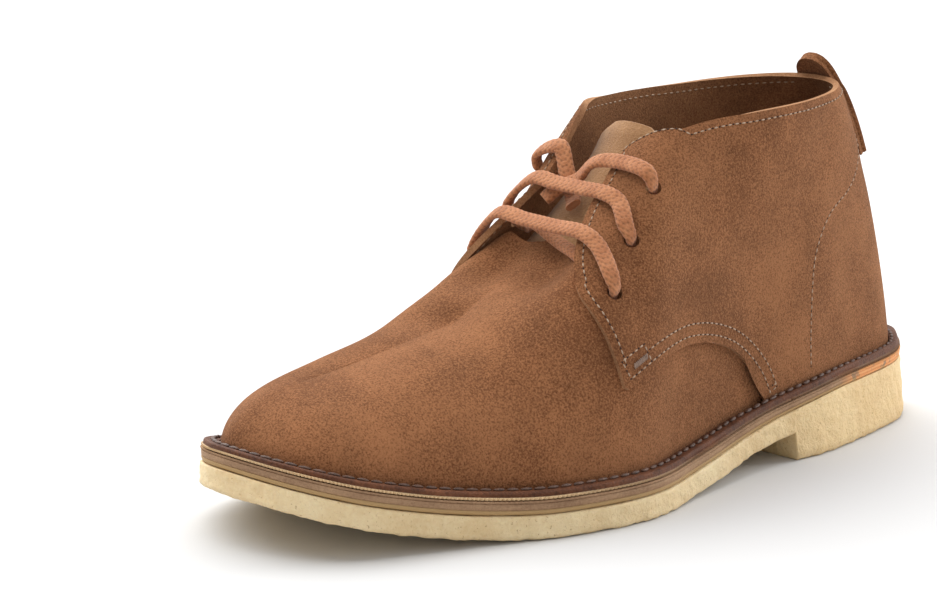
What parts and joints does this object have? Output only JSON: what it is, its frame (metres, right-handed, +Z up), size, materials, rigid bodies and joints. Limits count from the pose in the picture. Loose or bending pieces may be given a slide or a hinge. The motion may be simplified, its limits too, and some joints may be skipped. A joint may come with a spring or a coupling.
{
  "type": "desert boot",
  "caption": "Left ankle-high suede desert boot with crepe sole, stitched welt, open throat, flat laces and a heel pull tab.",
  "frame": {"origin": "centre of the bounding box on the floor, under the sole", "axes": "+Z up, -Y towards the toe, +X towards the wearer's outer side"},
  "size_m": [0.1138, 0.3, 0.1321],
  "materials": {
    "crepe": "matt natural crepe rubber",
    "midsole": "pressed leather edge",
    "welt": "dark waxed leather",
    "insole": "matt leather",
    "suede": "brushed suede",
    "lace": "flat woven lace"
  },
  "bodies": {
    "root": {"outsole": "crepe", "midsole": "midsole", "welt": "welt", "insole": "insole", "upper": "suede", "tongue": "suede", "pull_tab": "suede", "lacing": "lace", "lace_end_outer": "lace", "lace_end_inner": "lace"}
  },
  "joints": []
}
